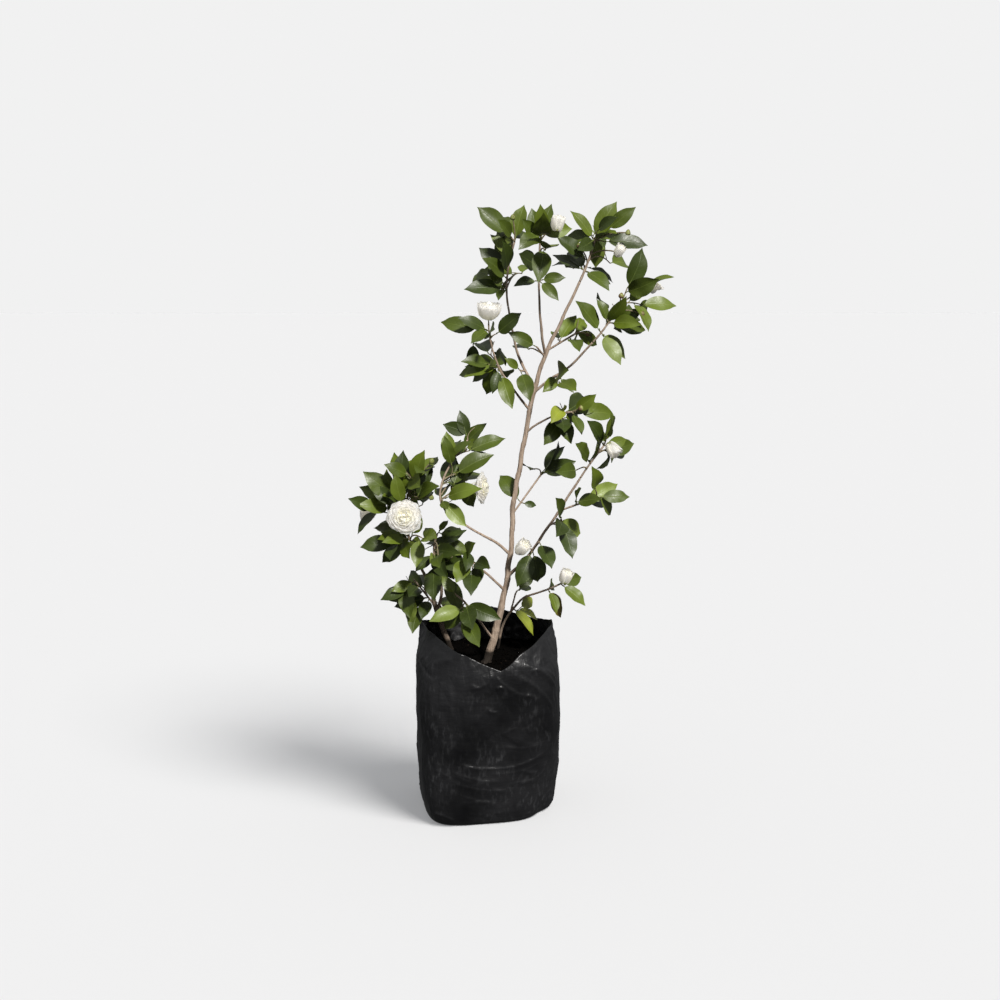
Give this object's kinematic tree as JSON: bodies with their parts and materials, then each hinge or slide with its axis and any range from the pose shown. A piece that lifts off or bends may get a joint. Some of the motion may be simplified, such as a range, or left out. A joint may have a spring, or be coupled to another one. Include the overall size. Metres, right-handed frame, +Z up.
{
  "type": "camellia shrub in a grow bag",
  "caption": "Young camellia shrub with a leaning slender trunk, open boughs, glossy leaves and white double flowers, standing in its black polythene grow bag.",
  "frame": {"origin": "centre of the flat underside of the grow bag, where it stands on the ground", "axes": "+Z up; -Y is the front, where the rim of the bag sags lowest; +X is the side that the trunk leans to"},
  "size_m": [0.7137, 0.471, 1.38],
  "materials": {
    "film": "black polythene film, crinkled, half glossy, scuffed",
    "potting_mix": "dark moist bark mix",
    "bark": "smooth grey-tan bark",
    "foliage": "glossy deep green leaves, white blooms"
  },
  "bodies": {
    "root": {"grow_bag": "film", "potting_mix": "potting_mix", "trunk": "bark", "left_stem": "bark", "right_stem": "bark", "bough_upper_middle": "bark", "bough_upper_left": "bark", "bough_left": "bark", "bough_right": "bark", "bough_right_middle": "bark", "bough_lower_right": "bark", "bough_left_upper": "bark", "bough_left_lower": "bark", "shoot_low_left": "bark", "fork_outer": "bark", "fork_inner": "bark", "foliage_top_left": "foliage", "foliage_top_middle": "foliage", "foliage_top_right": "foliage", "foliage_far_right": "foliage", "foliage_leader": "foliage", "foliage_node": "foliage", "foliage_fork_right": "foliage", "foliage_fork_left": "foliage", "foliage_left_upper": "foliage", "foliage_right_middle": "foliage", "foliage_right": "foliage", "foliage_right_low": "foliage", "foliage_lower_right": "foliage", "foliage_lower_inner": "foliage", "foliage_trunk_right": "foliage", "foliage_left_inner": "foliage", "foliage_left_outer": "foliage", "foliage_left_lower": "foliage", "foliage_left_low": "foliage", "foliage_left_foot": "foliage", "foliage_centre_left": "foliage", "foliage_low_left": "foliage", "foliage_low_right": "foliage", "foliage_right_foot": "foliage"}
  },
  "joints": []
}
